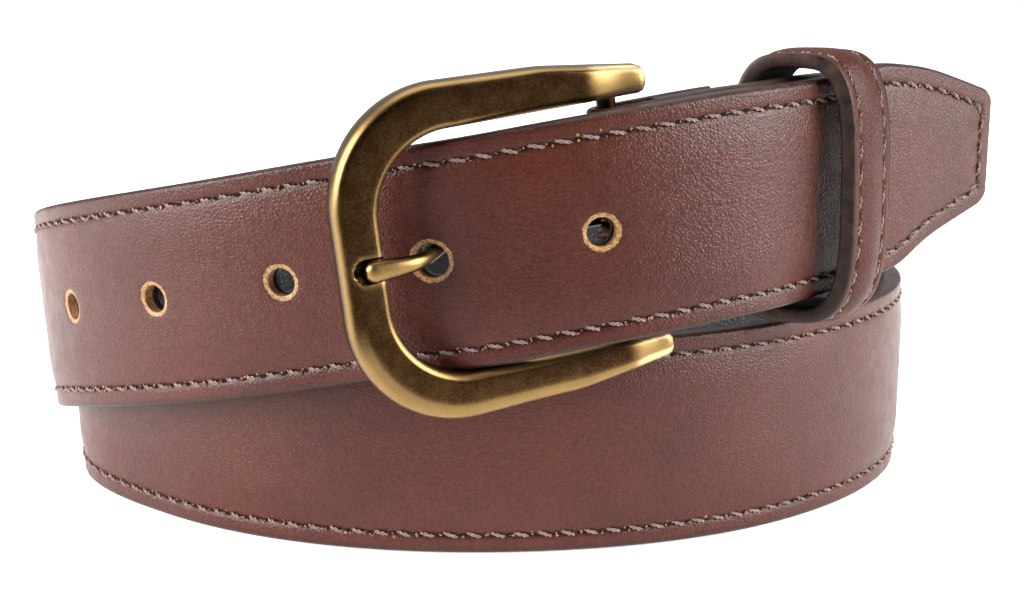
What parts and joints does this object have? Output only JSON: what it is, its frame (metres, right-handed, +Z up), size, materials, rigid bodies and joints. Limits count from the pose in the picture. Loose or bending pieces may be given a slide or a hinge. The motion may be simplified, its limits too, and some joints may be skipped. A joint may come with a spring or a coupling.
{
  "type": "leather dress belt",
  "caption": "Stitched leather dress belt with a horseshoe buckle, prong and keeper, buckled and rolled on its edge.",
  "frame": {"origin": "on the surface the belt stands on, below the middle of its box", "axes": "+Z up, -Y towards the viewer who sees the buckle, +X towards the strap's tip"},
  "size_m": [0.1734, 0.1765, 0.0809],
  "materials": {
    "brown_leather": "fine-grain brown leather, semi-matt, dark painted edge",
    "tan_leatherboard": "raw tan filler, fibrous",
    "black_lining": "black grained lining leather",
    "mauve_thread": "twisted mauve-brown polyester thread",
    "antique_brass": "antiqued brass, dark flats and rubbed bevels",
    "staple_steel": "blackened steel wire"
  },
  "bodies": {
    "strap": {"strap_cover": "brown_leather", "strap_filler": "tan_leatherboard", "strap_lining": "black_lining", "edge_seam_thread_front": "mauve_thread", "edge_seam_thread_back": "mauve_thread", "fold_seam_thread_near_buckle": "mauve_thread", "fold_seam_thread_near_keeper": "mauve_thread"},
    "buckle": {"buckle_frame": "antique_brass", "buckle_bar": "antique_brass"},
    "prong": {"prong": "antique_brass"},
    "keeper": {"keeper_cover": "brown_leather", "keeper_lining": "black_lining", "keeper_thread_buckle_side": "mauve_thread", "keeper_thread_tip_side": "mauve_thread", "keeper_staple": "staple_steel"}
  },
  "joints": [
    {"name": "buckle_tilt", "type": "hinge", "parent": "strap", "child": "buckle", "pos_m": [0.0191, -0.07136, 0.05561], "axis": [-0.1238, -0.0711, 0.9898], "range_deg": [-0.3, 1]},
    {"name": "prong_lift", "type": "hinge", "parent": "buckle", "child": "prong", "pos_m": [0.0191, -0.07136, 0.05561], "axis": [-0.1238, -0.0711, 0.9898], "range_deg": [0, 0.8]},
    {"name": "keeper_slide", "type": "hinge", "parent": "strap", "child": "keeper", "pos_m": [-0.0136, -0.0062, 0.0585], "axis": [-0.0118, -0.0157, 0.9998], "range_deg": [-6, 0]}
  ]
}
